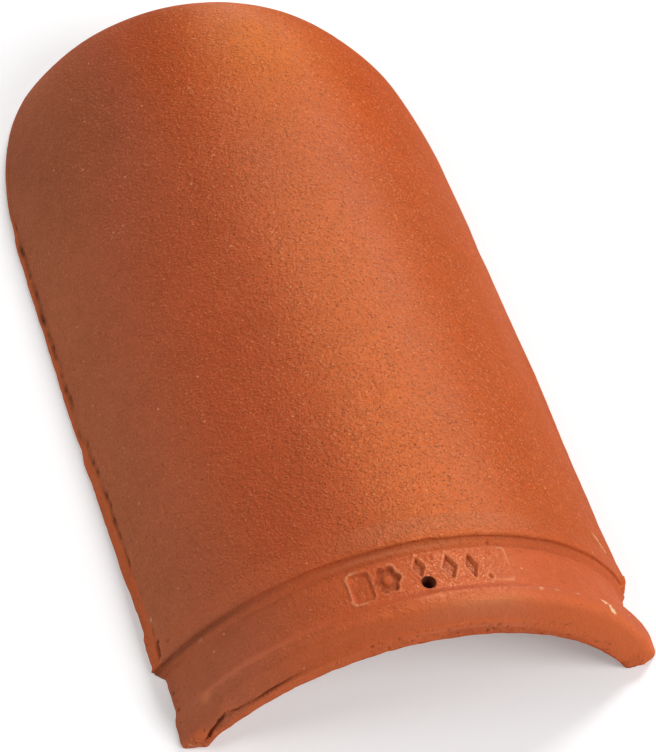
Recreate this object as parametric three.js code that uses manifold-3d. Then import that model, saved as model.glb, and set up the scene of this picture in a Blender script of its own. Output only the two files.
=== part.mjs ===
// Hip starter tile in fired clay, one pressed piece: an arched barrel whose far end is
// closed and rounded, and a stepped spigot at the near end that slips under the next tile.
// Millimetres, +Z up. Y runs along the tile, with the closed end at +Y and the spigot at -Y.
// The origin is on the plane of the feet, at the centre of the rectangle that the tile covers.

import * as THREE from 'three';
import { mergeVertices } from 'three/addons/utils/BufferGeometryUtils.js';
import Module from 'manifold-3d';

// ---- driving dimensions: barrel and closed end ----
const barrelHalfWidth = 115;   // outside, at the feet
const barrelRise = 72.5;       // outside, from the feet to the crest
const barrelLength = 260;      // from the step to the start of the closed end
const endLength = 122;         // closed end, beyond the barrel
const wallAtFoot = 16;         // clay measured level, at the feet
const wallAtCrest = 21;        // clay measured upright, at the crest
const wallAtEnd = 16;          // clay measured level, at the tip of the closed end
const footEdge = 2;            // broken corners along the feet

// Fullness of the closed end, where 2 and 2 would make an ellipse: its outline seen from above,
// across and along the tile, and its crest line seen from the side, upwards and along the tile.
const planAcross = 3.3;
const planAlong = 1.8;
const crestUp = 1.8;
const crestAlong = 3.2;

// ---- driving dimensions: spigot, lengths from the step and drops below the barrel's skin ----
const spigotLength = 40;
const stepBreak = 1;           // rounded edge at the top of the step
const stepCove = 4.5;          // run of the hollow curve at the foot of the step
const collarDrop = 4;
const ribStart = 27;
const ribCove = 2.4;           // run of each curve from the collar up to the rib
const ribDrop = 0.5;
const ribShoulder = 33;        // where the crown of the rib starts to turn down
const noseStart = 36.5;
const noseDrop = 3;            // drop where the sloping nose starts
const lipRun = 1.4;            // run of the rounded edge between the nose and the end face
const lipDrop = 11;
const padOuterHeight = 15;     // the feet keep the rib's full thickness to the end face, up to
const padInnerHeight = 6;      // a slanted cut that is lower on the inside of the arch

// ---- driving dimensions: nail hole through the collar ----
const nailHoleDiameter = 6.5;
const nailHoleFromStep = 20.5;
const nailHoleFromCrest = -4;

// ---- fineness of the facets ----
const archSteps = 40;
const cornerSteps = 3;
const endSteps = 22;
const curveSteps = 4;
const holeSides = 24;
const tipShare = 0.09;         // width at which the rounded end is closed by a flat, as a share
const overshoot = 6;           // how far a cutting body runs past the clay

const wasm = await Module();
wasm.setup();

// Circle through both feet and the crest of an arch: its radius and the height of its centre.
function archCircle(halfWidth, rise) {
  const radius = (halfWidth ** 2 + rise ** 2) / (2 * rise);
  return { radius, centreZ: rise - radius };
}

// Arch section at one place along Y: a circular arc from foot to foot. Its lower corners turn
// inwards on the clay's outer skin and outwards on the hollow, where depth carries them down.
function archSection(y, radius, centreZ, edge, turn, depth) {
  const foot = Math.sqrt(radius ** 2 - centreZ ** 2);
  const sweep = Math.acos((edge - centreZ) / radius);
  const arcEnd = new THREE.Vector2(radius * Math.sin(sweep), edge);
  const footEnd = new THREE.Vector2(foot + turn * edge, 0);
  const corner = new THREE.QuadraticBezierCurve(footEnd, new THREE.Vector2(foot, 0), arcEnd);
  const half = corner.getPoints(cornerSteps);
  if (depth > 0) half.unshift(new THREE.Vector2(footEnd.x, -depth));
  const ring = half.map((p) => new THREE.Vector3(p.x, y, p.y));
  for (let i = 1; i < archSteps; i += 1) {
    const angle = sweep - (2 * sweep * i) / archSteps;
    ring.push(new THREE.Vector3(radius * Math.sin(angle), y, centreZ + radius * Math.cos(angle)));
  }
  half.reverse().forEach((p) => ring.push(new THREE.Vector3(-p.x, y, p.y)));
  return ring;
}

// Skin through a row of sections that have as many points each, closed by a fan at both ends.
function loft(sections) {
  const count = sections[0].length;
  const points = sections.flat();
  const triangles = [];
  for (let s = 0; s + 1 < sections.length; s += 1) {
    for (let i = 0; i < count; i += 1) {
      const a = s * count + i;
      const b = s * count + ((i + 1) % count);
      triangles.push(a, b + count, b, a, a + count, b + count);
    }
  }
  [0, sections.length - 1].forEach((s) => {
    const middle = points.length;
    const centre = new THREE.Vector3();
    sections[s].forEach((p) => centre.addScaledVector(p, 1 / count));
    points.push(centre);
    for (let i = 0; i < count; i += 1) {
      const a = s * count + i;
      const b = s * count + ((i + 1) % count);
      triangles.push(...(s === 0 ? [middle, a, b] : [middle, b, a]));
    }
  });
  const geometry = new THREE.BufferGeometry().setFromPoints(points);
  geometry.setIndex(triangles);
  return geometry;
}

// Closed three.js geometry as a solid for the cuts and joins.
function toSolid(geometry) {
  const bare = geometry.clone();
  bare.deleteAttribute('normal');
  bare.deleteAttribute('uv');
  const merged = mergeVertices(bare, 1e-4);
  return new wasm.Manifold(new wasm.Mesh({
    numProp: 3,
    vertProperties: new Float32Array(merged.attributes.position.array),
    triVerts: new Uint32Array(merged.index.array),
  }));
}

function toGeometry(solid) {
  const mesh = solid.getMesh();
  const geometry = new THREE.BufferGeometry();
  geometry.setAttribute('position', new THREE.BufferAttribute(new Float32Array(mesh.vertProperties), 3));
  geometry.setIndex(new THREE.BufferAttribute(new Uint32Array(mesh.triVerts), 1));
  return geometry;
}

// How far along the rounded end its plan has narrowed to this share of the full width.
function endReach(widthShare) {
  return (1 - widthShare ** planAcross) ** (1 / planAlong);
}

// Sections of the rounded end: the width follows a cosine down to the tip, the place along the
// tile follows from the plan's powers, and the rise at that place from the crest line's powers.
function endSections(halfWidth, rise, length, edge, turn, depth) {
  const sections = [];
  const lastAngle = Math.acos(tipShare);
  for (let i = 1; i <= endSteps; i += 1) {
    const widthShare = Math.cos((lastAngle * i) / endSteps);
    const reach = endReach(widthShare);
    const riseShare = (1 - reach ** crestAlong) ** (1 / crestUp);
    const arch = archCircle(halfWidth * widthShare, rise * riseShare);
    const y = barrelLength + length * reach;
    sections.push(archSection(y, arch.radius, arch.centreZ, edge * riseShare, turn, depth));
  }
  return sections;
}

// Lengthwise outline of the spigot on the crest: along Y from the step, and up from the skin.
function spigotOutline() {
  const outline = new THREE.Path();
  const lipEnd = spigotLength - lipRun;
  const ribMiddle = (ribDrop + collarDrop) / 2;
  outline.moveTo(-spigotLength, -lipDrop);
  outline.quadraticCurveTo(-lipEnd, -lipDrop, -lipEnd, -lipDrop + lipRun);
  outline.lineTo(-noseStart, -noseDrop);
  outline.quadraticCurveTo(-noseStart, -ribDrop, -ribShoulder, -ribDrop);
  outline.lineTo(-ribStart - ribCove, -ribDrop);
  outline.quadraticCurveTo(-ribStart, -ribDrop, -ribStart, -ribMiddle);
  outline.quadraticCurveTo(-ribStart, -collarDrop, -ribStart + ribCove, -collarDrop);
  outline.lineTo(-stepBreak - stepCove, -collarDrop);
  outline.quadraticCurveTo(-stepBreak, -collarDrop, -stepBreak, -stepBreak);
  outline.quadraticCurveTo(-stepBreak, 0, 0, 0);
  return outline.getPoints(curveSteps);
}

// Outer form: the spigot's stations from its end to the step, then barrel and closed end.
function outerForm() {
  const skin = archCircle(barrelHalfWidth, barrelRise);
  const at = (y, up) => archSection(y, skin.radius + up, skin.centreZ, footEdge, -1, 0);
  const sections = spigotOutline().map((p) => at(p.x, p.y));
  sections.push(at(barrelLength, 0));
  sections.push(...endSections(barrelHalfWidth, barrelRise, endLength, footEdge, -1, 0));
  return toSolid(loft(sections));
}

// Feet of the spigot: below a slanted cut the rib runs on to the end face instead of turning in.
function spigotPads() {
  const skin = archCircle(barrelHalfWidth, barrelRise);
  const at = (y) => archSection(y, skin.radius - ribDrop, skin.centreZ, footEdge, -1, 0);
  const rib = toSolid(loft([at(-spigotLength), at(-ribShoulder)]));
  const cut = new THREE.Shape();
  cut.moveTo(barrelHalfWidth, 0);
  cut.lineTo(barrelHalfWidth, padOuterHeight);
  cut.lineTo(barrelHalfWidth - wallAtFoot, padInnerHeight);
  cut.lineTo(-barrelHalfWidth + wallAtFoot, padInnerHeight);
  cut.lineTo(-barrelHalfWidth, padOuterHeight);
  cut.lineTo(-barrelHalfWidth, 0);
  const slab = new THREE.ExtrudeGeometry(cut, { depth: spigotLength, bevelEnabled: false });
  slab.rotateX(Math.PI / 2);
  slab.translate(0, -ribShoulder / 2, 0);
  return rib.intersect(toSolid(slab));
}

// Hollow under the arch, open along the feet and at the spigot's end.
function hollow() {
  const halfWidth = barrelHalfWidth - wallAtFoot;
  const rise = barrelRise - wallAtCrest;
  const skin = archCircle(halfWidth, rise);
  const at = (y) => archSection(y, skin.radius, skin.centreZ, footEdge, 1, overshoot);
  const sections = [at(-spigotLength - overshoot), at(barrelLength)];
  sections.push(...endSections(halfWidth, rise, endLength - wallAtEnd, footEdge, 1, overshoot));
  return toSolid(loft(sections));
}

function nailHole() {
  const radius = nailHoleDiameter / 2;
  const drill = new THREE.CylinderGeometry(radius, radius, barrelRise, holeSides);
  drill.rotateX(Math.PI / 2);
  drill.translate(nailHoleFromCrest, -nailHoleFromStep, barrelRise - wallAtCrest);
  return toSolid(drill);
}

const clay = outerForm().add(spigotPads()).subtract(hollow()).subtract(nailHole());

const terracotta = new THREE.MeshStandardMaterial({ color: 0xbf5f38, roughness: 0.75, metalness: 0 });
const tile = new THREE.Mesh(toGeometry(clay), terracotta);
tile.name = 'hip_starter_tile';

// Modelled with y = 0 at the step, then centred lengthwise over its footprint.
tile.position.y = (spigotLength - barrelLength - endLength * endReach(tipShare)) / 2;

const group = new THREE.Group();
group.add(tile);
export default group;
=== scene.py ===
# %% [markdown]
# # A hip starter tile in fired clay
#
# A hip is the sloping edge where two roof planes meet, and a row of arched tiles covers it. This
# tile is the lowest of the row: its far end is closed and rounded, so that rain runs over it, and
# its near end is a stepped spigot that slips under the next tile. It was pressed from one slab of
# clay in a mould, trimmed along its feet and fired, so it is one closed skin without seams.
#
# The frame holds the solid at its real size. Here it gets its surface: sandy grain, trimmed feet,
# pits and chips, the marks on the collar and the colour of the clay.

import math

import bmesh
import bpy
import numpy as np
from mathutils import Matrix, Vector


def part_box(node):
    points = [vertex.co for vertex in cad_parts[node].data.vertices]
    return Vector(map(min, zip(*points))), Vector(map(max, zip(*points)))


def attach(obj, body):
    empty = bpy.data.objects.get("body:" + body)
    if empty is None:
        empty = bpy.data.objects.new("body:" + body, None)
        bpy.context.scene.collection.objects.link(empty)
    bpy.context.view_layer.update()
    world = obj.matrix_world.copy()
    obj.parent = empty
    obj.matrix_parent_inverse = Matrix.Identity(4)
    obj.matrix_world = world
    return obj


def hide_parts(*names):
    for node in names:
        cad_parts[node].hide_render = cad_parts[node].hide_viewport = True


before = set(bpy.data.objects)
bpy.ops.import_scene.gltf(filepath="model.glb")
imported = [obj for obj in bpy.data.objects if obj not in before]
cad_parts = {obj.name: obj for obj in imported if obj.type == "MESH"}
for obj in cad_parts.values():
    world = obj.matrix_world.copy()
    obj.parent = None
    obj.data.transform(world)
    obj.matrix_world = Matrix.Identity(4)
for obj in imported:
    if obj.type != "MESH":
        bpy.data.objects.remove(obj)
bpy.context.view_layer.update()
tile_low, tile_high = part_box("hip_starter_tile")
mm = 0.001
print("tile is", [round(v / mm, 1) for v in tile_high - tile_low], "mm")

# %% [markdown]
# ## Camera
#
# A long lens looks at the spigot end from well above and a little from the left. It is turned about
# its own axis, so the tile lies askew in the view. A camera in Blender looks along its own -Z with
# +Y up, so its matrix has the right, up and back directions as its columns. They follow from an
# azimuth, an elevation and a roll, in degrees.

# %% Place the camera
camera_azimuth, camera_elevation, camera_roll = -28.206, 49.474, 14.302
camera_lens = 143.62
camera_from_step = Vector((-0.43033, -0.67955, 1.09963))
spigot_length = 40 * mm
step_y = tile_low.y + spigot_length


def new_object(name, data):
    """Object that holds this data, put into the scene."""
    item = bpy.data.objects.new(name, data)
    bpy.context.scene.collection.objects.link(item)
    return item


def away(azimuth, elevation):
    """Direction away from the tile: azimuth 0 is in front of the spigot, 90 degrees at its right."""
    turn, lift = math.radians(azimuth), math.radians(elevation)
    return Vector((math.sin(turn) * math.cos(lift), -math.cos(turn) * math.cos(lift), math.sin(lift)))


roll = math.radians(camera_roll)
back = away(camera_azimuth, camera_elevation)
level_right = Vector((0, 0, 1)).cross(back).normalized()
level_up = back.cross(level_right)
right = math.cos(roll) * level_right + math.sin(roll) * level_up
up = back.cross(right)

camera = new_object("camera", bpy.data.cameras.new("camera"))
camera.data.lens = camera_lens
camera.matrix_world = Matrix.Translation(camera_from_step + Vector((0, step_y, 0))) @ Matrix(
    (right, up, back)
).transposed().to_4x4()
bpy.context.scene.camera = camera
print("camera stands", round(camera.matrix_world.translation.length, 3), "m from the tile's middle")

# %% [markdown]
# ## Small tools
#
# Clay has no hard corners and no even surface, so nearly every shape below is an eased rise from
# one level to another, a hump, a line with rounded corners, or soft random relief. What follows no
# formula is read off a table of places and sizes. The relief is worked out with numpy instead of a
# texture, because the mesh itself has to carry it: a displaced mesh looks right from every side
# and is exported with its shape.

# %% Eased steps, humps, tables, rounded lines and soft relief
def eased(value, start, end):
    """Rise from 0 at start to 1 at end: t * t * (3 - 2 t), where t is the share of the way.

    With the end below the start, it is 1 for small values and falls to 0 for large ones."""
    share = np.clip((value - start) / (end - start), 0, 1)
    return share * share * (3 - 2 * share)


def hump(value, middle, reach, power=2):
    """Bell of height 1: exp(-(d^power)), where d is the distance to the middle over the reach."""
    return np.exp(-(((value - middle) / reach) ** power))


def read_off(table, value):
    """Second column of a table, read off where the first has this value, straight in between."""
    return np.interp(value, *np.transpose(table))


def mixed(first, second, share):
    """The first value where the share is 0, the second where it is 1, a straight mix between."""
    return first + (second - first) * share


def rounded_line(corners, cuts, count):
    """Points at even steps along a line whose inner corners are rounded.

    Each inner corner is replaced by the parabola (1 - t)^2 a + 2 t (1 - t) corner + t^2 b, where
    a and b lie on the two sides at the corner's cut distance. The line is then cut at even
    shares of its length."""
    corners = np.array(corners, float)
    t = np.linspace(0, 1, 9)[:, None]
    pieces = [corners[:1]]
    for before, corner, after, cut in zip(corners, corners[1:], corners[2:], cuts):
        a = corner + cut * (before - corner) / np.linalg.norm(before - corner)
        b = corner + cut * (after - corner) / np.linalg.norm(after - corner)
        pieces.append((1 - t) ** 2 * a + 2 * t * (1 - t) * corner + t**2 * b)
    line = np.concatenate(pieces + [corners[-1:]])
    run = np.concatenate([[0], np.cumsum(np.linalg.norm(np.diff(line, axis=0), axis=1))])
    even = np.linspace(0, run[-1], count)
    return np.stack([np.interp(even, run, line[:, k]) for k in range(2)], axis=1)


def soft_relief(points, size, seed):
    """Random heights between -1 and 1 that change over about the given size.

    Space is cut into cubes of that size, each corner of the lattice has a random height, and a
    point gets the mix of its cube's eight corners, eased along each axis."""
    table = np.random.default_rng(seed).uniform(-1, 1, 4099)
    scaled = points / size
    cell = np.floor(scaled).astype(np.int64)
    share = eased(scaled - cell, 0, 1)
    total = np.zeros(len(points))
    for corner in np.ndindex(2, 2, 2):
        key = (cell + corner) @ np.array([73856093, 19349663, 83492791])
        weight = np.prod(np.where(corner, share, 1 - share), axis=1)
        total += weight * table[key % len(table)]
    return total


print("relief of three points", soft_relief(np.eye(3) * 0.3, 10 * mm, 1).round(3))

# %% [markdown]
# ## The form: a wall section carried along the tile
#
# The section of the wall is a closed loop: over the outer skin from the left foot to the right
# foot, across the right foot, back along the hollow, and across the left foot. The tile is that
# loop carried from the spigot to the tip of the closed end, where both arches shrink to nothing,
# each by its own length, so the wall closes by itself. The loop keeps its number of points, so the
# whole tile is one grid. Both arches are circular arcs: with half width w and rise h, the radius is
# (w² + h²) / 2h.

# %% Sizes of the arch, the barrel and the closed end
half_width = 115 * mm
rise = tile_high.z
barrel_length = 260 * mm
end_length = 122 * mm
wall_at_foot = 16 * mm
wall_at_crest = 21 * mm
wall_at_end = 16 * mm
foot_round = 1.0 * mm
mouth_round = 1.5 * mm
plan_across, plan_along = 3.3, 1.8
crest_up, crest_along = 1.8, 3.2


def arch_circle(width, height):
    """Radius and height of the centre of the arc through both feet and the crest."""
    radius = (width**2 + height**2) / (2 * height)
    return radius, height - radius


skin_radius, skin_centre = arch_circle(half_width, rise)
skin_sweep = math.acos(-skin_centre / skin_radius)
skin_arc = skin_radius * skin_sweep
print("skin radius", round(skin_radius / mm, 1), "mm, arc to a foot", round(skin_arc / mm, 1), "mm")

# %% [markdown]
# ## Columns and rows
#
# The grid is fine at the feet, with their rounded corners and trimmed band, and near the crest,
# where the collar carries its marks. It is coarser on the plain flanks, and the hollow has half as
# many columns, so the end face can be stitched two to one. That keeps the tile below 200,000
# triangles.

# %% Columns round the arch
column_spans = (  # arc length from the foot up, and the spacing over it
    (7.7 * mm, 0.64 * mm),
    (21 * mm, 0.95 * mm),
    (skin_arc - 43 * mm, 1.9 * mm),
    (skin_arc, 0.72 * mm),
)
from_foot = [0.0]
for span_end, spacing in column_spans:
    steps = round((span_end - from_foot[-1]) / spacing)
    from_foot += list(np.linspace(from_foot[-1], span_end, steps + 1)[1:])
half_columns = 1 - np.array(from_foot) / skin_arc
around = np.concatenate([-half_columns, half_columns[-2::-1]])  # -1 left foot, 0 crest, 1 right
around_hollow = around[::2]
print(len(around), "columns outside,", len(around_hollow), "inside")

# %% [markdown]
# ## The spigot
#
# Seen from the side along the crest, the skin steps down to the collar with a hollow curve, runs
# level, rises again to a rib and turns down over a steep nose to the end face. At both feet the
# nose is missing: the rib keeps its thickness to the end, as a pad. Each outline is drawn as a
# rounded line with as many points, and each column takes its share of every one.

# %% Outlines of the spigot: place from the step, and drop below the skin, in millimetres
nose_rows, collar_rows, step_rows = 28, 40, 18
end_face = -40.2 * mm
collar_drop = 4.0

crest_nose = rounded_line(
    [(-40.2, 13.4), (-40.2, 11.3), (-38.7, 10.5), (-36.6, 3.2), (-34.2, 0.6), (-31, 0.6)],
    [1.0, 0.8, 1.8, 1.8], nose_rows,
)
left_nose = rounded_line(
    [(-40.2, 13.2), (-40.2, 11.4), (-38.6, 10.2), (-40.0, 8.8), (-38.4, 4.2), (-35, 0.8), (-31, 0.6)],
    [0.6, 0.5, 0.7, 2.2, 2.0], nose_rows,
)
right_nose = rounded_line(
    [(-40.2, 15.0), (-40.2, 12.6), (-38.7, 6.6), (-36.2, 2.0), (-33.2, 0.6), (-31, 0.6)],
    [1.0, 2.4, 2.2, 1.4], nose_rows,
)
pad_line = rounded_line([(-40.2, 6.0), (-40.2, 0.6), (-31, 0.6)], [2.2], nose_rows)
collar_line = rounded_line(
    [(-31, 0.6), (-29.0, 0.6), (-24.8, 4), (-7.2, 4)], [0.8, 1.5], collar_rows,
)
filled_line = rounded_line(
    [(-31, 0.6), (-21.8, 0.8), (-15.2, 3.9), (-7.2, 4)], [3.0, 1.8], collar_rows,
)
step_line = rounded_line(
    [(-7.2, 4), (-5.9, 3.7), (-5.1, 4.1), (-1.5, 1.3), (-0.9, 1.5), (-0.6, 0), (2.4, 0)],
    [0.4, 0.35, 0.25, 0.25, 0.4], step_rows,
)
step_end = step_line[-1, 0] * mm
print("outlines of", nose_rows, "+", collar_rows, "+", step_rows, "points")

# %% [markdown]
# The two sides aren't alike. To the right the lip has worn away, the nose is one rounded slope,
# and near the foot the collar is filled up to the rib. To the left a sharp crease parts the nose
# from the lip, the nose is thicker over a stretch, and the rib fades into the collar at the foot.
# One array for each of these says how much of it every column gets. The step is the same all
# round: a groove and a small shoulder under the edge of the barrel, both pressed by the mould.

# %% How the spigot changes from the left foot to the right foot
column_arc = around * skin_arc / mm
up_from_foot = (1 - np.abs(around)) * skin_arc / mm
on_left = around < 0
left_share = eased(column_arc, -62, -104)
right_share = eased(column_arc, 12, 62)
left_swell = 1 - 0.42 * hump(up_from_foot, 28.5, 5.5) - 0.12 * eased(up_from_foot, 44, 24)
pad_share = np.where(on_left, eased(up_from_foot, 12.0, 8.5), eased(up_from_foot, 17.0, 7.0))
fill_share = ~on_left * eased(up_from_foot, 50, 24)
rib_fade = 0.72 * on_left * eased(up_from_foot, 34, 5)

nose_outline = mixed(crest_nose[:, None], left_nose[:, None], left_share[:, None])
nose_outline = mixed(nose_outline, right_nose[:, None], right_share[:, None])
nose_outline[..., 1] *= np.where(on_left, left_swell, 1)
nose_outline = mixed(nose_outline, pad_line[:, None], pad_share[:, None])
collar_outline = mixed(collar_line[:, None], filled_line[:, None], fill_share[:, None])
step_outline = step_line[:, None] + 0 * collar_outline[:1]
outline_y, outline_drop = np.moveaxis(
    np.concatenate([nose_outline, collar_outline[1:], step_outline[1:]]), -1, 0
)
raised = np.clip(1 - outline_drop / collar_drop, 0, 1) * (outline_y < -8)
spigot_drop = mm * (outline_drop + rib_fade * raised * collar_drop)
spigot_y = mm * (outline_y + 1.8 * hump(outline_y, -27.5, 4) * eased(column_arc, 66, 92))
print("thickest nose on the left", left_swell.min().round(2), "of its drop")

# %% [markdown]
# The rows of the barrel are close beside the step and wide apart further on. Round the closed end
# the width shrinks as the cosine of a turn from 0 to 90 degrees, which sets the rows close where
# the outline bends fast. With width share w, the place along the end is (1 - w^3.3)^(1/1.8) of its
# length, and the crest falls as (1 - place^3.2)^(1/1.8): both are fuller than an ellipse.

# %% Rows along the outer skin
near_rows, far_rows, end_rows = 24, 82, 52
near_end = 25 * mm
near_y = np.linspace(step_end, near_end, near_rows + 1)[1:]
barrel_y = np.concatenate([near_y, np.linspace(near_end, barrel_length, far_rows + 1)[1:]])
end_width = np.cos(np.linspace(0, math.pi / 2, end_rows + 1)[1:])
end_width[-1] = 0
end_reach = (1 - end_width**plan_across) ** (1 / plan_along)
end_height = np.maximum(1 - end_reach**crest_along, 0) ** (1 / crest_up)
row_count = len(spigot_y) + len(barrel_y) + end_rows
print(row_count, "rows,", len(spigot_y), "of them on the spigot")

# %% [markdown]
# ## Points of both skins
#
# Every row is an arc about its own centre. A drop shortens the radius, and the sweep follows, so
# that the row still ends on the ground. Then the corners along the feet are rounded: a point lower
# than the rounding radius moves level towards the clay, onto a quarter circle. The mouth of the
# hollow is rounded in the same way.

# %% Arc rows and rounded corners
def arc_rows(y, width, height, drop, shares):
    """Grid of points (x, y, z) with one arc in each row: x = r sin(a), z = centre + r cos(a).

    r is the arch's radius less the drop, and the angle a is a share of the sweep at which the
    arc meets the ground."""
    radius, centre = arch_circle(width[:, None], np.maximum(height[:, None], 1e-9))
    radius = radius - drop
    sweep = np.arccos(np.clip(-centre / radius[:, :1], -1, 1))
    angle = sweep * shares
    z = np.maximum(centre + radius * np.cos(angle), 0)
    return np.stack([radius * np.sin(angle), np.broadcast_to(y, angle.shape), z], axis=-1)


def per_row(size, end_share):
    """A size for every row: the same up to the closed end, and times a share in the end's rows."""
    return size * np.concatenate([np.ones(row_count - end_rows), end_share])


def level_outward(grid):
    """Level direction away from the hollow at each point of a grid of arc rows.

    It is square to the outline of the foot, (dy, -dx) of neighbouring rows, and its sideways part
    fades to nothing at the middle of the tile."""
    foot = grid[:, -1]
    run = np.gradient(foot, axis=0)
    across = grid[..., 0] / np.maximum(foot[:, :1], 1e-9)
    direction = np.stack([run[:, 1:2] * across, -run[:, :1] + 0 * across], axis=-1)
    direction[-1] = (0, 1)
    length = np.linalg.norm(direction, axis=-1, keepdims=True)
    return np.concatenate([direction / np.maximum(length, 1e-12), 0 * length], axis=-1)


def round_off(distance, radius):
    """Depth of a quarter circle behind a corner's side: r - sqrt(r² - (r - distance)²)."""
    rest = np.clip(radius - distance, 0, radius)
    return radius - np.sqrt(radius**2 - rest**2)


smooth_y = np.concatenate([barrel_y, barrel_length + end_length * end_reach])[:, None]
skin = arc_rows(
    np.concatenate([spigot_y, smooth_y + 0 * around]),
    per_row(half_width, end_width),
    per_row(rise, end_height),
    np.concatenate([spigot_drop, 0 * smooth_y * around]),
    around,
)
hollow_y = np.concatenate([
    np.linspace(end_face, step_end, len(spigot_y)),
    barrel_y,
    barrel_length + (end_length - wall_at_end) * end_reach,
])[:, None]
hollow = arc_rows(
    hollow_y,
    per_row(half_width - wall_at_foot, end_width),
    per_row(rise - wall_at_crest, end_height),
    0 * around_hollow - round_off(hollow_y - end_face, mouth_round),
    around_hollow,
)
skin = skin - level_outward(skin) * round_off(skin[..., 2:], foot_round)
hollow = hollow + level_outward(hollow) * round_off(hollow[..., 2:], foot_round)
print("outer grid", skin.shape[:2], "hollow grid", hollow.shape[:2])

# %% [markdown]
# ## Strays of the outline
#
# The feet were trimmed by hand while the clay was soft, and the tile then dried and shrank, so its
# outline strays by a millimetre or two: both feet waver, a lug of clay was left beside the step on
# each side, the right foot of the spigot flares, and the pads have worn corners. Each stray is a
# table of places along the foot with the sideways move there. It fades out upwards, on the left
# foot at the crease left by the trimming wire. The edge of the step wavers a little too.

# %% Strays along the feet: distance from the step, and move outwards, in millimetres
left_strays = (
    (-43, 0.4), (-38, 0.6), (-34, 0.25), (-30, 0.2), (-26, 0.3), (-22, -0.75), (-18, -0.7),
    (-14, -0.8), (-10, -0.75), (-6, -1.1), (-3.5, 0), (-1.5, 0.5), (2, -0.9), (6, -0.8),
    (10, -0.8), (17, -1), (21, -2), (28, -1.9), (36, -1.6), (44, -1.3), (52, -0.6), (68, 0),
    (84, 0.4), (92, 0.55), (100, 0.4), (108, 0.8), (118, 1.3), (122, 0.8), (125, 0.3), (132, 1),
    (140, 1.1), (148, 1.5), (156, 1.05), (164, 1.4), (172, 1.1), (200, 1.15), (228, 1.3),
    (236, 0.85), (244, 1.3), (252, 1.2), (260, -0.3), (266, 0),
)
right_strays = (
    (-43, 0), (-38, 1.2), (-34, 2.2), (-30, 2.5), (-26, 2.9), (-22, 2.3), (-18, 2),
    (-14.5, 1), (-10.7, 0.2), (-7.4, 0), (-4.5, 0.6), (-2.5, 0.5), (-1, -0.9), (0, -1.1),
    (2, 0), (4, 0.9), (6, 1.5), (8, 1.6), (10, 1.4), (14, 1.1), (18, 1.1), (36, 0.45),
    (52, 0.9), (84, 1), (100, 1.3), (132, 1.5), (148, 1), (164, 0.5), (196, 0.2),
    (212, -0.2), (228, 0.4), (244, 0), (262, -0.3), (270, 0),
)
crease_heights = (  # distance from the step, and height of the left foot's crease
    (-43, 6), (-2, 7), (6, 7.7), (30, 7), (85, 6.5), (118, 5.5), (127, 5.4), (129, 3.2), (400, 3),
)
lug_sides = (  # distance from the step, and of the right lug's side from the middle
    (-1.9, 110.9), (-0.9, 111.6), (0.1, 112.2), (1.1, 112.6), (3.1, 112.9), (4.3, 113),
)

x, y, z = np.moveaxis(skin / mm, -1, 0)
crease_z = read_off(crease_heights, y)
left_fade = np.where(y < -2, eased(z, 26, 4), eased(z, crease_z + 1.0, crease_z - 1.2))
right_fade = np.where(y < -2, eased(z, 26, 4), eased(z, 14, 5))
moves = (-read_off(left_strays, y) * left_fade, read_off(right_strays, y) * right_fade)
x = x + np.where(x < 0, *moves)
on_lug = (y > -2.0) * eased(y, 4.8, 4.3) * eased(z, 9.6, 8.6)
x = x + on_lug * (x > 0) * np.maximum(read_off(lug_sides, y) - x, 0)
wave = soft_relief(np.stack([column_arc, 0 * around, 0 * around], axis=-1), 11, 21)
y = y + 0.35 * wave * hump(y, -1.5, 2.5)
skin = mm * np.stack([x, y, z], axis=-1)
print("moves outwards from", moves[1].min().round(1), "to", moves[1].max().round(1), "mm on the right")

# %% [markdown]
# The ends of both pads are drawn in plan, as the move of the end face for each distance from the
# middle: the right pad has lost its outer corner, and the left one bulges between round corners.
# The last nine millimetres move along the tile by a share that grows towards the end face.

# %% Ends of the pads
right_plan = ((96, 0), (102, 0), (106, 0.3), (110, 1.6), (113, 3), (116, 4.6), (119, 6.6))
left_plan = (
    (95, 0), (97, -0.6), (99, -1.3), (101, -2.1), (103.2, -2.5), (107, -1.9), (109.8, -1.1),
    (111, -0.6), (112, 0.2), (113, 1.6), (114, 3.2),
)


def move_pad_ends(grid):
    """Adds the plan's move, times a share that grows from 0 at the rib to 1 at the end face."""
    x, y, z = np.moveaxis(grid / mm, -1, 0)
    left = read_off(left_plan, np.abs(x)) * eased(z, 12, 7)
    right = read_off(right_plan, np.abs(x)) * eased(z, 22, 12)
    share = np.clip((-31 - y) / 9.2, 0, 1) ** 2
    grid[..., 1] += mm * np.where(x < 0, left, right) * share


move_pad_ends(skin)
move_pad_ends(hollow)
print("the spigot ends at", (skin[..., 1].min() / mm).round(1), "mm from the step")

# %% [markdown]
# ## One closed skin
#
# The grid of the loop gives all faces but one patch: the end face between the two arches. That
# patch goes inwards from the outer edge in even steps, takes the feet's own points at its sides,
# and its last band joins two outer columns to one of the hollow. At the tip all points of an arch
# fall together and are merged.

# %% Loop, end face and mesh
foot_steps = 8
foot_share = np.arange(1, foot_steps)[:, None] / foot_steps
right_foot = mixed(skin[:, -1:], hollow[:, -1:], foot_share)
left_foot = mixed(hollow[:, :1], skin[:, :1], foot_share)
loop = np.concatenate([skin, right_foot, hollow[:, ::-1], left_foot], axis=1)
number = np.arange(loop[..., 0].size).reshape(row_count, -1)
after = np.roll(number, -1, axis=1)
wall_faces = np.stack([number[:-1], after[:-1], after[1:], number[1:]], axis=-1).reshape(-1, 4)

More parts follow.
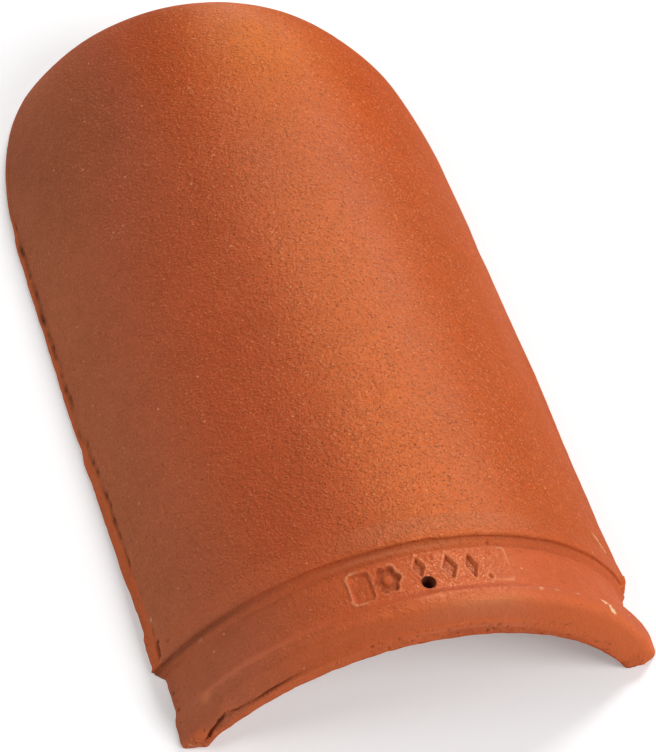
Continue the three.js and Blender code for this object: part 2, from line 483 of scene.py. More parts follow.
mouth_numbers = number[0, len(around) + foot_steps - 1 :][: len(around_hollow)][::-1]
mouth_edge = np.repeat(hollow[0], 2, axis=0)[:-1]
mouth_edge[1::2] = (hollow[0, :-1] + hollow[0, 1:]) / 2
face_points = mixed(skin[0], mouth_edge, foot_share[:, None])
face_numbers = number.size + np.arange(face_points[..., 0].size).reshape(foot_steps - 1, -1)
face_numbers[:, -1] = number[0, len(around) :][: foot_steps - 1]
face_numbers[:, 0] = number[0, : -foot_steps : -1]
patch = np.concatenate([number[:1, : len(around)], face_numbers])
patch_faces = np.stack([patch[:-1, :-1], patch[1:, :-1], patch[1:, 1:], patch[:-1, 1:]], axis=-1)
edge = patch[-1]
quads = np.stack([edge[:-2:2], mouth_numbers[:-1], mouth_numbers[1:], edge[1:-1:2]], axis=-1)
thirds = np.stack([edge[1:-1:2], mouth_numbers[1:], edge[2::2]], axis=-1)

points = np.concatenate([loop.reshape(-1, 3), face_points.reshape(-1, 3)]) + (0, step_y, 0)
skin_part, foot_part, hollow_part, face_part = 1, 2, 3, 4
part_of_loop = np.repeat(
    (skin_part, foot_part, hollow_part, foot_part),
    (len(around), foot_steps - 1, len(around_hollow), foot_steps - 1),
)
part = np.append(np.tile(part_of_loop, row_count), np.full(face_numbers.size, face_part))
faces = wall_faces.tolist() + patch_faces.reshape(-1, 4).tolist() + quads.tolist() + thirds.tolist()

mesh = bpy.data.meshes.new("fired_clay_tile")
mesh.from_pydata(points, [], faces)
mesh.attributes.new("part", "INT", "POINT").data.foreach_set("value", part.astype(np.int32))
built = bmesh.new()
built.from_mesh(mesh)
bmesh.ops.delete(built, geom=[v for v in built.verts if not v.link_faces], context="VERTS")
bmesh.ops.remove_doubles(built, verts=built.verts, dist=0.0005 * mm)
open_edges = [e for e in built.edges if len(e.link_faces) != 2]
built.to_mesh(mesh)
print(len(mesh.vertices), "points,", len(mesh.polygons), "faces,", len(open_edges), "open edges,",
      round(built.calc_volume(signed=True) / mm**3 / 1000), "cm3")
built.free()

# %% [markdown]
# ## Relief of the skin
#
# Firing warps a tile by a few tenths of a millimetre, the mould and the trimming wire leave their
# marks, and knocks leave pits and chips. All of it becomes one height for each point, added along
# the point's normal. Down to the marks on the collar every number is in millimetres, and a place
# on the skin is its arc length from the crest, positive to the right, and its distance from the
# step, positive towards the closed end.
#
# Seven looks go to the material as a number for each point: where the clay is trimmed, pale, matt
# or darkened by painted shade, how much it has of the shiny strip along the crest (crest), whose
# colour is also lifted there as a painted highlight, and of the painted shade on the left shoulder of
# the closed end, and how coarse its grain is. Where two marks meet, the stronger one stays. The
# grain is finest on the collar, and coarsest on the barrel from the crest to the right.

# %% Where each point lies on the skin
def read(layer, name, width=3, kind=float):
    """Numbers that a layer of a mesh holds under this name, `width` of them for each point."""
    numbers = np.empty(len(layer) * width, kind)
    layer.foreach_get(name, numbers)
    return numbers.reshape(-1, width)


place, normal = read(mesh.vertices, "co"), read(mesh.vertex_normals, "vector")
part = read(mesh.attributes["part"].data, "value", 1, np.int32).ravel()
on_skin, on_foot, on_hollow, on_face = (
    part == number for number in (skin_part, foot_part, hollow_part, face_part)
)
outside = on_skin | on_face
spot = place / mm
height = spot[:, 2]
along = (place[:, 1] - step_y) / mm
arc = skin_radius / mm * np.arctan2(place[:, 0], place[:, 2] - skin_centre)
looks = {
    name: np.zeros(len(spot)) for name in ("trim", "pale", "painted_shade", "matt", "crest", "painted_end_shade", "grain")
}


def mark(name, amount, where=slice(None)):
    """Raises one of the looks to this amount, where it isn't stronger already."""
    looks[name][where] = np.maximum(looks[name][where], amount)


def gap_to(across, from_step, up_to):
    """Distance of each point from a place: sideways, along from the step, and up."""
    return np.linalg.norm(spot - (across, from_step + step_y / mm, up_to), axis=1)


print(len(spot), "points,", on_skin.sum(), "of them on the skin")

# %% Warp, swellings and the unevenness of the pressed skin
unevenness = ((0.40, 85, 11), (0.12, 27, 12), (0.040, 6.5, 13), (0.030, 3.4, 14))
relief = sum(depth * soft_relief(spot, size, seed) for depth, size, seed in unevenness)
swellings = (  # sideways place, place from the step, height, radius and rise
    (90, 315, 27, 22, 1.2), (106, 262, 15, 12, -0.7), (-80, 350, 15, 18, -0.5),
)
for across, from_step, up_to, radius, swell in swellings:
    relief += swell * hump(gap_to(across, from_step, up_to), 0, radius)
sandy = on_skin * (0.5 * eased(along, -2, 6) + 0.5 * eased(along, 6, 34))
sandy *= 0.36 + 1.3 * eased(arc, -62, 5) * (1 - 0.5 * eased(arc, 45, 95))
looks["grain"] = np.where(on_skin, 0.45, 0.5) + sandy
# The crest look gives a smoother skin, and in the colour a painted highlight along the strip beside
# the crest.
looks["crest"] = on_skin * hump(arc, 12, 36) * (1 - 0.5 * eased(along, 300, 365))
# Painted shade on the left shoulder of the closed end.
looks["painted_end_shade"] = hump(gap_to(-62, 300, 45), 0, 95)
print("warp from", relief.min().round(2), "to", relief.max().round(2), "mm")

# %% [markdown]
# ## Trimmed band and crease
#
# A wire was drawn along the feet to cut off what the mould squeezed out. It left a narrow band with
# an open, rough skin, and above it a crease that is broken and pitted. On the left it is 7 mm up
# near the step, falls slowly, and drops to 3 mm where the wire was set again. Elsewhere it is low
# and faint. Two reliefs that change only along the tile say where it wavers and where it is broken.

# %% Band and crease along the feet
barrel_end = barrel_length / mm
past_step = on_skin & (along > -1.5)
left_barrel = past_step & (spot[:, 0] < 0) & (along < barrel_end + 8)
lengthwise = spot * (0, 1, 0)
crease = np.where(left_barrel & (along < barrel_end), read_off(crease_heights, along), 3.0)
above = height - crease - 0.5 * soft_relief(lengthwise, 9, 31)
strength = past_step * np.where(left_barrel, 1.0, 0.35)
broken = eased(soft_relief(lengthwise, 5, 32), -0.55, 0.15)
pitted = eased(soft_relief(spot, 2.6, 33), 0.0, 0.5)
crease_line = hump(above, 0, 0.75) * strength
relief -= crease_line * (0.35 * broken + 0.55 * pitted)
# Painted shade darkens the crease where it is broken and pitted.
mark("painted_shade", crease_line * (0.30 * broken + 0.65 * pitted))
band = strength * eased(above, 0.4, -1.0)
relief += band * (0.20 * soft_relief(spot, 2.3, 34) + 0.30 * soft_relief(spot, 8, 35))
mark("trim", band)
print("points near the crease", int((np.abs(above) < 1)[left_barrel].sum()))

# %% [markdown]
# ## Rough breaks: end face, lip and the ends of the pads
#
# Where the clay was cut or broken off it is open and coarse. The edge of the lip has a few small
# holes, because the mould wasn't filled quite full there, and painted shade darkens them. On the left
# a sharp fold runs between nose and lip, found by how far a point lies below the barrel's skin, and
# painted shade darkens it. Painted light makes the nose lighter, most to the right. Two places on the
# rib are rubbed bare, where tiles lay on each other in the stack, and a third, beside the crest, is a
# painted highlight on the top of the rib.

# %% Rough breaks
in_end = on_face | (on_skin & (along < -38.9))
coarse = 0.30 * soft_relief(spot, 3.6, 41) + 0.22 * soft_relief(spot, 1.7, 42)
relief += coarse * np.where(on_face, 1.0, 0.6 * in_end)
mark("trim", in_end * (0.15 + 0.6 * eased(height, 14, 9)))
# Painted light: the nose is painted lighter, most to the right.
nose = on_skin * eased(arc, -110, -30) * eased(along, -29, -36)
mark("trim", nose * (0.6 + 0.35 * eased(arc, 20, 70)))
lug = on_skin & (arc > 0) & (height < 9.2) & (np.abs(along - 1.2) < 3.4)
mark("trim", 0.6 * lug)
holes = outside * eased(soft_relief(spot, 1.3, 43), 0.50, 0.72) * eased(along, -39.0, -39.8)
holes *= eased(soft_relief(spot, 14, 44), -0.1, 0.3)
relief -= 0.45 * holes
# Painted shade darkens the small holes.
mark("painted_shade", 0.7 * holes)

light_rib_places = (  # arc, from the step, and how far it reaches round and along
    (17, -35, 22, 2.6), (-118, -29.6, 3.2, 3), (-2, -30, 7, 1.4),
)
# The first place, beside the crest, is a painted highlight on the top of the rib; the other two are
# rubbed bare.
for at, from_step, round_reach, along_reach in light_rib_places:
    light_rib = on_skin * hump(arc, at, round_reach) * hump(along, from_step, along_reach)
    mark("trim", 0.95 * light_rib)
    mark("pale", 0.10 * light_rib)

fold_depths = (  # arc, and how far the fold lies below the barrel's skin there
    (-136, 9.6), (-131, 9.1), (-123, 8.2), (-115, 6.3), (-108, 7.9), (-94, 10), (-75, 10.4),
)
below_skin = (skin_radius - np.hypot(place[:, 0], place[:, 2] - skin_centre)) / mm
fold = outside * hump(below_skin, read_off(fold_depths, arc), 0.65)
fold *= eased(arc, -134, -129) * eased(arc, -62, -96) * eased(along, -37.0, -38.0)
relief -= 0.7 * fold
# Painted shade darkens the fold.
mark("painted_shade", 0.7 * fold)
lip = outside * (arc < 0) * eased(below_skin, 10.5, 12) * eased(along, -38, -39)
mark("trim", lip)
print("coarse points", int(in_end.sum()), "and small holes in", int((holes > 0.5).sum()))

# %% [markdown]
# ## Pits and chips
#
# Each was left by one knock or one air bubble, so each has its own place. A pit is a shallow dish
# with a soft edge, mostly darkened with painted shade. A chip is longer, has a ragged edge and bares
# the pale body of the clay; painted shade darkens one deep chip at the left foot.

# %% Single pits, dents and chips
# The last column is the painted shade in each dish.
pits = (  # arc, from the step, radius, depth and darkness
    (-127.4, 6.1, 0.9, 0.6, 0.7), (-121.6, 11, 0.8, 0.5, 0.6), (-138.2, -13.9, 1, 0.6, 0.7),
    (-138, -22.6, 1, 0.7, 0.7), (-137.5, -18, 0.7, 0.4, 0.5), (89, 13, 0.9, 0.5, 0.6),
    (-1, -30.5, 2.2, 0.45, 0), (-26, -32.5, 3, 0.35, 0), (31, -31, 2.4, 0.25, 0),
    (30, -3.9, 1.1, 0.5, 0.4), (-118, -29.6, 3.2, 0.4, 0), (-84, -14, 1.2, 0.3, 0.2),
    (60, 150, 1.6, 0.3, 0.2), (-48, 205, 1.8, 0.3, 0.2), (18, 96, 1.4, 0.25, 0.1),
    (-22, 262, 1.6, 0.3, 0.2), (12, 318, 1.5, 0.3, 0.2),
)
for at, from_step, radius, depth, painted_shade_share in pits:
    dish = on_skin * eased(np.hypot(arc - at, along - from_step) / radius, 1.15, 0.35)
    relief -= depth * dish
    mark("painted_shade", painted_shade_share * dish)


def to_line(x, y, start, end):
    """Distance from each point (x, y) to the straight piece from start to end."""
    run = np.subtract(end, start)
    share = np.clip(((x - start[0]) * run[0] + (y - start[1]) * run[1]) / (run @ run), 0, 1)
    return np.hypot(x - start[0] - share * run[0], y - start[1] - share * run[1])


# The darkness column is painted shade in the chip.
chips = (  # start and end as arc and distance from the step, half width, depth, paleness, darkness
    ((-134, 9.6), (-135.2, 3.2), 1.1, 1.3, 0, 0.95),
    ((111.5, 17.9), (121.5, 11.8), 0.7, 0.25, 0.75, 0),
    ((89.6, -26.4), (91.4, -27.5), 1.5, 0.40, 1, 0),
    ((95, -29.5), (96.4, -31.6), 1.35, 0.40, 1, 0),
    ((69.8, -28.7), (69.9, -28.7), 0.7, 0.15, 0.6, 0),
    ((56.6, -28.9), (56.9, -28.9), 0.7, 0.10, 0.5, 0),
    ((48, -28.9), (48.4, -28.9), 0.8, 0.10, 0.5, 0),
    ((-112.2, -2.9), (-111.8, -3), 0.3, 0.1, 0.25, 0),
    ((-133.3, 21), (-132.8, 21.5), 0.5, 0.1, 0.6, 0),
    ((-134.6, -40.6), (-134.4, -40.9), 0.45, 0.2, 0.45, 0),
    ((-137.6, -41.4), (-137.5, -41.5), 0.40, 0.2, 0.35, 0),
)
chip_edge = 0.35 * soft_relief(spot, 1.6, 51)
for start, end, half, depth, paleness, painted_shade_share in chips:
    gap = to_line(arc, along, start, end) + chip_edge
    inside = outside * eased(gap, half + 0.45, half - 0.45)
    relief -= depth * inside
    mark("pale", paleness * inside)
    mark("painted_shade", painted_shade_share * inside)
print(len(pits), "pits and", len(chips), "chips; pale points", int((looks["pale"] > 0.3).sum()))

# %% [markdown]
# ## Traces of the mould round the step
#
# A fine ridge runs round the barrel, 11.5 mm from the step, where two parts of the mould met. Painted
# light makes the step's hollow curve lighter and draws a thin pale line on it, and painted shade
# darkens a line under its edge and another at its foot. From the ridge to the end of the spigot the
# clay came out matt, and painted shade makes it a little darker left of the marks.

# %% Ridge, step and the dull clay of the spigot
relief += 0.10 * on_skin * hump(along, 11.5, 0.7)
near_left = eased(arc, -20, -118) * (0.60 - 0.24 * eased(arc, -105, -60))
near_crest = eased(arc, -70, -20) * eased(arc, 105, 60)
# Painted shade: a dark line under the edge of the step and a fainter one at its foot.
mark("painted_shade", on_skin * hump(along, -1.5, 1.2) * np.maximum(near_left, 0.24 * near_crest))
mark("painted_shade", on_skin * hump(along, -4.8, 1.3) * 0.19 * near_crest)
# Painted light: a thin pale line on the step and a lighter hollow curve.
mark("pale", on_skin * hump(along, -2.9, 0.7) * 0.08 * eased(arc, -60, -30) * eased(arc, 25, 5))
hollow_curve = on_skin * hump(along, -3.6, 2.4, power=4)
mark("trim", hollow_curve * (0.09 + 0.21 * eased(arc, -95, -25)))
looks["matt"] = outside * (1 - 0.6 * eased(along, -2, 0) - 0.4 * eased(along, 10, 12))
land = on_skin * eased(along, 1, 3) * eased(along, 12, 10.5)
mark("trim", 0.18 * land * eased(arc, -35, -80))
mark("pale", 0.04 * land * eased(arc, -55, -15) * eased(arc, 75, 35))
# Painted shade: a little darker left of the marks.
mark("painted_shade", 0.10 * on_skin * hump(arc, -60, 24) * hump(along, -14, 6.5, power=4))
print("matt points", int((looks["matt"] > 0.5).sum()))

# %% [markdown]
# ## Inside of the arch
#
# The hollow was shaped by a core that was drawn out lengthwise while the clay still stuck to it,
# so it is rough and streaked along the tile. The feet it stands on are flat and freshly cut.

# %% Streaks in the hollow
streaks = soft_relief(spot * (1, 0.10, 1), 4.5, 61) + 0.6 * soft_relief(spot * (1, 0.2, 1), 2.6, 62)
relief += 0.22 * on_hollow * streaks
relief[on_foot] = 0
looks["trim"][on_hollow] = 0.35
looks["trim"][on_foot] = 1.0
print("hollow points", int(on_hollow.sum()))

# %% [markdown]
# ## Marks on the collar
#
# Small plates in the mould leave sunk marks on the collar. They are plain ornament and say
# nothing: a round plug with six lobes and a button in it, a pressed patch beside it, a few
# lozenges, and the corner of a frame. Each is worked out from the distance to its outline, so it
# gets a flat floor, a soft wall and the low rim of clay that was pushed up round it. The rims stand
# proud; a painted highlight makes them lighter, fading here and there, and painted shade darkens the
# sunk floors.

# %% Marks of the mould plates
def to_plate(x, y, middle, half_size, corner):
    """Signed distance to a rectangle with round corners, below zero inside."""
    dx = np.abs(x - middle[0]) - half_size[0] + corner
    dy = np.abs(y - middle[1]) - half_size[1] + corner
    beyond = np.hypot(np.maximum(dx, 0), np.maximum(dy, 0))
    return beyond + np.minimum(np.maximum(dx, dy), 0) - corner


def sunk(distance, depth, rim):
    """Height of a sunk mark: -depth inside its outline, a rim just outside, nothing further out."""
    return rim * hump(distance, 0.9, 0.55) - depth * eased(distance, 0.35, -0.40)


collar = on_skin & (np.abs(arc) < 50) & (along < -3) & (along > -28)
collar_spot, u, v = spot[collar], arc[collar], along[collar]
ragged = 0.30 * soft_relief(collar_spot, 2.4, 71)
plug_u, plug_v = u + 21.8, (v + 14.6) * 0.86
from_plug = np.hypot(plug_u, plug_v)
lobes = 5.4 + 0.7 * np.cos(6 * np.arctan2(plug_v, plug_u))
marks = sunk(from_plug - lobes + 0.4 * ragged, 1.45, 0.36) + 1.15 * eased(from_plug, 2.6, 1.7)
lozenges = (  # middle, half width, half length and depth
    (-6.4, -12.2, 2.6, 4.6, 1.2), (8, -14, 3.4, 6.2, 1.5), (18.6, -14.6, 2.7, 6.2, 1.5),
    (0.6, -8.2, 0.9, 1.3, 0.6), (28.8, -8.6, 0.9, 1.6, 0.5),
    (32.8, -8.2, 0.8, 1.3, 0.4), (26.2, -20.8, 1, 1.3, 0.8),
)
for middle_u, middle_v, half_u, half_v, depth in lozenges:
    from_middle = np.abs(u - middle_u) / half_u + np.abs(v - middle_v) / half_v
    gap = (from_middle - 1) * half_u * half_v / math.hypot(half_u, half_v)
    marks += sunk(gap + 0.3 * ragged, depth, 0.34)
patch_gap = to_plate(u, v, (-34.2, -15.0), (4.6, 7.2), 2.0)
marks += sunk(patch_gap + ragged, 0.60, 0.42)
marks += 0.35 * soft_relief(collar_spot, 2.0, 72) * eased(patch_gap, 0.5, -1)
frame_gap = to_plate(u, v, (26.0, -14.3), (12.0, 8.6), 1.5)
marks += 0.40 * hump(frame_gap, 0, 0.50) * eased(u, 24, 28)
relief[collar] += marks
# Painted highlight on the proud rims, fading here and there.
painted_rim_highlight = eased(marks, 0.10, 0.30)
painted_rim_highlight *= 0.2 + 0.8 * eased(soft_relief(collar_spot, 5, 73), -0.45, 0.45)
# Painted shade in the sunk floors.
mark("painted_shade", 0.34 * eased(marks, -0.5, -1.2), collar)
mark("trim", 0.9 * painted_rim_highlight, collar)
mark("pale", 0.26 * painted_rim_highlight, collar)
print("marks reach from", marks.min().round(2), "to", marks.max().round(2), "mm")

# %% [markdown]
# ## The relief becomes shape
#
# All heights together move the points along their normals. The feet stay flat on the ground, as
# they were on the drying board, and nothing else goes below it.

# %% Set the relief
for name, values in looks.items():
    layer = mesh.attributes.new(name, "FLOAT", "POINT")
    layer.data.foreach_set("value", values.astype(np.float32))
place = place + mm * relief[:, None] * normal
place[:, 2] = np.where(on_foot, 0, np.maximum(place[:, 2], 0))
mesh.vertices.foreach_set("co", place.ravel())
mesh.update()
print("relief from", relief.min().round(2), "to", relief.max().round(2), "mm")

# %% [markdown]
# ## Nail hole
#
# A nail holds the tile on the hip batten. Its hole was pushed through the soft collar from above,
# just left of the crest, with a pin that tapers a little. It goes right through the wall, so it is
# cut from the finished mesh by a Boolean, and its bore is dark, because little light gets in.

# %% Nail hole
hole_from_step = 20.5 * mm
hole_from_crest = -4.2 * mm
hole_radius = 3.1 * mm
hole_sides = 32
pin_ends = ((0.92, rise / 2), (1.04, rise * 1.1))  # share of the hole's radius, and height
bore_darkness = 0.8

turn = np.linspace(0, 2 * math.pi, hole_sides + 1)[:-1]
ring = hole_radius * np.stack([np.cos(turn), np.sin(turn), 0 * turn], axis=1)
hole_middle = np.array([hole_from_crest, step_y - hole_from_step, 0])
low = list(range(hole_sides))
high = [k + hole_sides for k in low]
sides = list(zip(low, low[1:] + low[:1], high[1:] + high[:1], high))
pin = bpy.data.meshes.new("pin")
pin.from_pydata(
    np.concatenate([share * ring + hole_middle + (0, 0, level) for share, level in pin_ends]),
    [], sides + [low[::-1], high],
)
cutter = new_object("pin", pin)
tile = new_object("fired_clay_tile", mesh)
cut = tile.modifiers.new("nail hole", "BOOLEAN")
cut.operation, cut.object, cut.solver = "DIFFERENCE", cutter, "MANIFOLD"
evaluated = tile.evaluated_get(bpy.context.evaluated_depsgraph_get())
pierced = bpy.data.meshes.new_from_object(evaluated)
tile.modifiers.clear()
tile.data = pierced
bpy.data.objects.remove(cutter)

dark_layer = pierced.attributes["painted_shade"].data
from_hole = np.linalg.norm((read(pierced.vertices, "co") - hole_middle)[:, :2], axis=1)
painted_shade_share = read(dark_layer, "value", 1, np.float32).ravel()
painted_shade_share[from_hole < 1.05 * hole_radius] = bore_darkness
dark_layer.foreach_set("value", painted_shade_share)
pierced.shade_smooth()
pierced.set_sharp_from_angle(angle=math.radians(50))
triangles = sum(len(face.vertices) - 2 for face in pierced.polygons)
print("after the hole", len(pierced.vertices), "points,", triangles, "triangles")

# %% [markdown]
# ## Fired clay
#
# The clay is rich in iron and burnt to an orange red, without glaze or slip. Up close it is cloudy
# over a hand's width, mottled over a finger's width, and full of light and dark grains of sand, with
# a pale speck of quartz here and there. From the left foot to the right it turns from a dull red to
# a deeper orange. Painted light is laid into the colour too: a painted highlight along the strip
# beside the crest and a warm one on top of the closed end, painted shade on the left shoulder of the
# closed end and in creases, pits and sunk marks, and the light knots, where the grain is coarse,
# partly stand in for glints as painted highlight. The pressed skin is slightly shiny where the mould
# closed the grain, while the trimmed band and all breaks are rough and dull. Those places come as
# attributes of the mesh, so that colour, roughness and shape agree. What the clay mirrors is tinted
# with its own colour, since its skin is burnt clay, not glass.

# %% Small helpers for a node tree
def set_inputs(tree, node, values):
    """The same node, whose inputs get plain numbers, plain colours or other nodes' outputs."""
    for name, value in values.items():
        if isinstance(value, bpy.types.NodeSocket):
            tree.links.new(value, node.inputs[name])
        else:
            node.inputs[name].default_value = (*value, 1) if isinstance(value, tuple) else value
    return node


def add_node(tree, kind, inputs=None, **settings):
    """New shader node of a kind, with its plain properties and its inputs set."""
    node = tree.nodes.new("ShaderNode" + kind)
    for name, value in settings.items():
        setattr(node, name, value)
    return set_inputs(tree, node, inputs or {})


def own_place(tree):
    """Coordinates of the object itself."""
    return add_node(tree, "TexCoord").outputs["Object"]


def noise(tree, size, detail=2.0, roughness=0.5):
    """Noise whose features are about `size` metres wide."""
    inputs = {"Vector": own_place(tree), "Scale": 1 / size, "Detail": detail, "Roughness": roughness}
    return add_node(tree, "TexNoise", inputs).outputs["Fac"]


def specks(tree, size):
    """Distance to the nearest of many scattered middles `size` apart, and that speck's colour."""
    inputs = {"Vector": own_place(tree), "Scale": 1 / size, "Randomness": 1.0}
    node = add_node(tree, "TexVoronoi", inputs, feature="F1")
    return node.outputs["Distance"], node.outputs["Color"]


def between(tree, value, low, high, start=0.0, end=1.0):
    """Value taken from the range low..high to start..end, eased at both ends."""
    inputs = {"Value": value, "From Min": low, "From Max": high, "To Min": start, "To Max": end}
    node = add_node(tree, "MapRange", inputs, interpolation_type="SMOOTHSTEP")
    return node.outputs["Result"]


def combine(tree, operation, result, *values):
    """One sum carried on over all values; each is a plain number or another node's output."""
    for value in values:
        node = add_node(tree, "Math", {0: result, 1: value}, operation=operation)
        result = node.outputs[0]
    return result


def times(tree, *values):
    """Product of all values."""
    return combine(tree, "MULTIPLY", *values)


def laid_over(tree, colour, layers):
    """Colour with others laid over it in turn; each layer is its share and its colour."""
    for share, tint in layers:
        node = add_node(tree, "Mix", {0: share, 6: colour, 7: tint}, data_type="RGBA")
        colour = node.outputs[2]
    return colour


# %% Colour without the grain
def over(tree, axis, start, end, most=1.0):
    """Share that grows from 0 to `most` between two places on an axis, in millimetres."""
    spot = add_node(tree, "SeparateXYZ", {"Vector": own_place(tree)})
    return between(tree, spot.outputs[axis], start * mm, end * mm, 0, most)


def broad_colour(tree, crest, painted_end_shade, matt, at_end):
    """Colour over a hand's width: from foot to foot, at the crest, on the spigot and far end."""
    from_left, to_right = over(tree, "X", -115, -55), over(tree, "X", -5, 75)
    high = over(tree, "Z", 15, 60)
    far = times(tree, high, over(tree, "X", -70, -30), over(tree, "Y", -20, 150, 0.6))
    # Painted highlight on the top of the closed end, high up and beside the crest.
    painted_end_highlight = times(tree, at_end, over(tree, "X", -45, 20, 0.85), crest, high)
    spigot_right = (over(tree, "X", -100, -40), (0.525, 0.099, 0.032))
    spigot = laid_over(tree, (0.49, 0.130, 0.062), [spigot_right])
    colour = laid_over(tree, (0.505, 0.140, 0.062), [
        (from_left, (0.468, 0.081, 0.029)),
        (to_right, (0.49, 0.077, 0.011)),
        # Painted highlight: a lighter, yellower orange along the strip beside the crest.
        (times(tree, crest, 0.9), (0.67, 0.140, 0.031)),
        # Painted shade: a darker, browner red on the left shoulder of the closed end.
        (times(tree, painted_end_shade, 0.5), (0.37, 0.115, 0.060)),
        (far, (0.56, 0.070, 0.006)),
        # Painted highlight: a warm, light orange on top of the closed end.
        (painted_end_highlight, (0.76, 0.178, 0.014)),
        (matt, spigot),
    ])
    clouds = between(tree, noise(tree, 60 * mm), 0.35, 0.65, 0.96, 1.03)
    mottle = between(tree, noise(tree, 7 * mm, 3.0), 0.3, 0.7, 1.03, 0.95)
    # The painted shade on the left shoulder also dims the tone there.
    tone = times(tree, clouds, mottle, between(tree, painted_end_shade, 0.0, 1.0, 1.0, 0.86))
    toned = add_node(tree, "VectorMath", operation="SCALE")
    return set_inputs(tree, toned, {0: colour, "Scale": tone}).outputs[0]


# %% The clay's material
def make_clay():
    """Cloudy, mottled and sandy clay, rougher where the mesh is marked as trimmed or broken."""
    material = bpy.data.materials.new("fired_clay")
    material.use_nodes = True
    tree = material.node_tree
    shader = tree.nodes["Principled BSDF"]
    trim, pale, painted_shade, matt, crest, painted_end_shade, grain = (
        add_node(tree, "Attribute", attribute_name=name).outputs["Fac"] for name in looks
    )
    at_end = over(tree, "Y", 50, 165)

    from_sand, sand_colour = specks(tree, 1.7 * mm)
    split = add_node(tree, "SeparateColor", {"Color": sand_colour}).outputs
    sand = between(tree, from_sand, 0.30, 0.12)
    light_sand = times(tree, sand, between(tree, split["Red"], 0.90, 0.95))
    dark_sand = times(tree, sand, between(tree, split["Green"], 0.86, 0.93))
    quartz = between(tree, specks(tree, 11 * mm)[0], 0.065, 0.035)
    knots_and_glints = between(tree, noise(tree, 1.25 * mm, 1.0), 0.52, 0.76)
    pores = between(tree, noise(tree, 1.15 * mm, 1.0), 0.47, 0.25)
    colour = laid_over(tree, broad_colour(tree, crest, painted_end_shade, matt, at_end), [
        (times(tree, pores, grain, 0.44), (0.24, 0.034, 0.010)),
        # Light knots, laid on most where the grain is coarse from the crest to the right, are partly
        # painted glints.
        (times(tree, knots_and_glints, grain, 0.34), (0.92, 0.29, 0.105)),
        (times(tree, light_sand, 0.40), (0.70, 0.28, 0.11)),
        (times(tree, quartz, 0.55), (0.85, 0.42, 0.20)),
        (times(tree, dark_sand, 0.45), (0.20, 0.035, 0.010)),
        (times(tree, trim, 0.75), (0.71, 0.155, 0.052)),
        # Painted shade: darkens creases, pits, small holes, sunk floors, the step's lines and the nail
        # hole's bore.
        (painted_shade, (0.075, 0.022, 0.012)),
        (pale, (0.85, 0.62, 0.36)),
    ])

    wear = between(tree, noise(tree, 18 * mm, 3.0), 0.3, 0.7, -0.04, 0.04)
    smooth = between(tree, crest, 0.02, 0.8, 0.74, 0.32)
    dull = (times(tree, trim, 0.25), times(tree, pale, 0.3), times(tree, at_end, 0.20))
    rough = combine(tree, "ADD", wear, smooth, *dull)
    skin_grain, fine_grain = noise(tree, 2.4 * mm, 2.0, 0.6), noise(tree, 1.0 * mm, 2.0, 0.6)
    grains = ((fine_grain, 0.5), (knots_and_glints, 0.45), (light_sand, 0.25), (dark_sand, -0.35))
    height = combine(tree, "ADD", skin_grain, *(times(tree, *pair) for pair in grains))
    height = times(tree, height, combine(tree, "MINIMUM", grain, 1.15))
    bump = {"Strength": 1.0, "Distance": 1.1 * mm, "Height": height}
    set_inputs(tree, shader, {
        "Base Color": colour,
        "Roughness": combine(tree, "MINIMUM", rough, 0.95),
        "Normal": add_node(tree, "Bump", bump).outputs["Normal"],
    })
    shader.inputs["Specular IOR Level"].default_value = 0.42
    shader.inputs["Specular Tint"].default_value = (1.0, 0.40, 0.10, 1)
    return material


tile.data.materials.clear()
tile.data.materials.append(make_clay())
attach(tile, "root")
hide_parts("hip_starter_tile")
print("the clay has", len(tile.data.materials[0].node_tree.nodes), "nodes")

# %% [markdown]
# ## Floor and light
#
# The floor is pale and matt, and throws back as much light as white card. For the camera it also
# glows, a little beside the tile and more further out, so it keeps the tile's shadow and still runs
# into the white behind it without an edge.
#
# The key lamp stands behind to the right: it draws the long highlight beside the crest and makes
# the sunk marks readable. A larger, softer one in front to the right opens the nose, and one at the
# left lights the shaded flank. The world is white where it is looked at or mirrored, and adds no
# other light.

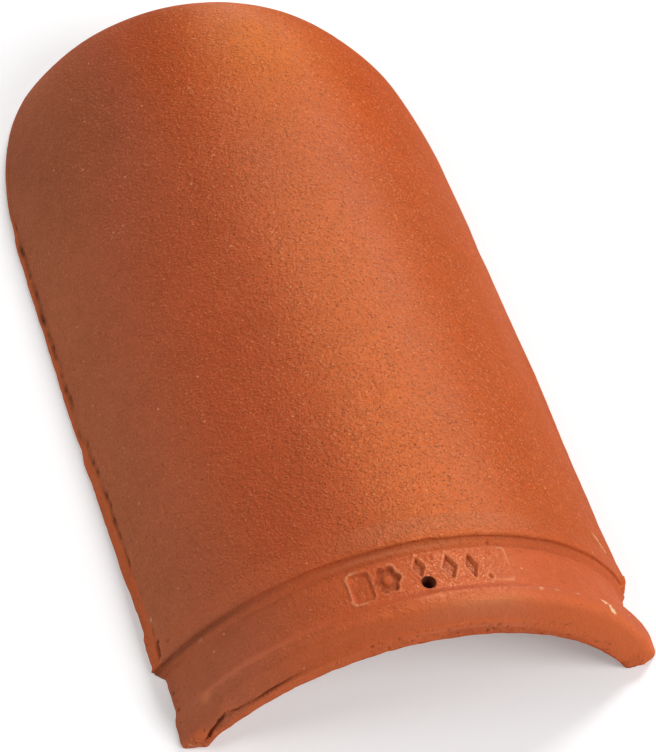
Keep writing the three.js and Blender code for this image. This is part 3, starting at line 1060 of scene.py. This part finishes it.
# %% Floor
def looked_at(tree):
    """1 for rays from the camera, straight, mirrored or through glass, and 0 for all others."""
    ray = add_node(tree, "LightPath").outputs
    kinds = ("Is Camera Ray", "Is Glossy Ray", "Is Transmission Ray")
    return combine(tree, "MAXIMUM", *(ray[kind] for kind in kinds))


def make_floor_material():
    """Matt pale grey that glows for rays that look at it, more the further it is from the tile."""
    material = bpy.data.materials.new("floor")
    material.use_nodes = True
    tree = material.node_tree
    from_middle = add_node(tree, "VectorMath", {0: own_place(tree)}, operation="LENGTH")
    glow = between(tree, from_middle.outputs["Value"], 0.7, 2.6, 0.28, 1.0)
    set_inputs(tree, tree.nodes["Principled BSDF"], {
        "Base Color": (0.8, 0.8, 0.8),
        "Roughness": 1.0,
        "Specular IOR Level": 0.0,
        "Emission Color": (1, 1, 1),
        "Emission Strength": times(tree, looked_at(tree), glow),
    })
    return material


floor_reach = 6.0
floor_mesh = bpy.data.meshes.new("floor")
corners = floor_reach * np.array([(-1, -1, 0), (1, -1, 0), (1, 1, 0), (-1, 1, 0)])
floor_mesh.from_pydata(corners, [], [(0, 1, 2, 3)])
floor_mesh.materials.append(make_floor_material())
floor = new_object("floor", floor_mesh)
floor.location.z = -0.2 * mm
print("floor is", 2 * floor_reach, "m wide")

# %% Lamps and world
lamp_distance = 3.0
lamp_aim = Vector((0, 0, 30 * mm))


def soft_lamp(name, azimuth, elevation, power, size):
    """Round area lamp that looks at the tile."""
    direction = away(azimuth, elevation)
    lamp = new_object(name, bpy.data.lights.new(name, "AREA"))
    lamp.data.shape = "DISK"
    lamp.data.size = size
    lamp.data.energy = power
    lamp.location = direction * lamp_distance + lamp_aim
    lamp.rotation_mode = "QUATERNION"
    lamp.rotation_quaternion = (-direction).to_track_quat("-Z", "Y")
    return lamp


lamps = [
    soft_lamp("key", 140, 42, 60, 0.9),
    soft_lamp("front", 45, 38, 58, 2.0),
    soft_lamp("left", 270, 40, 33, 1.5),
]
world = bpy.data.worlds.new("studio")
bpy.context.scene.world = world
world.use_nodes = True
sky = world.node_tree
set_inputs(sky, sky.nodes["Background"], {"Color": (1, 1, 1), "Strength": looked_at(sky)})
bpy.context.scene.view_settings.view_transform = "Standard"
print([(lamp.name, round(lamp.data.energy)) for lamp in lamps])
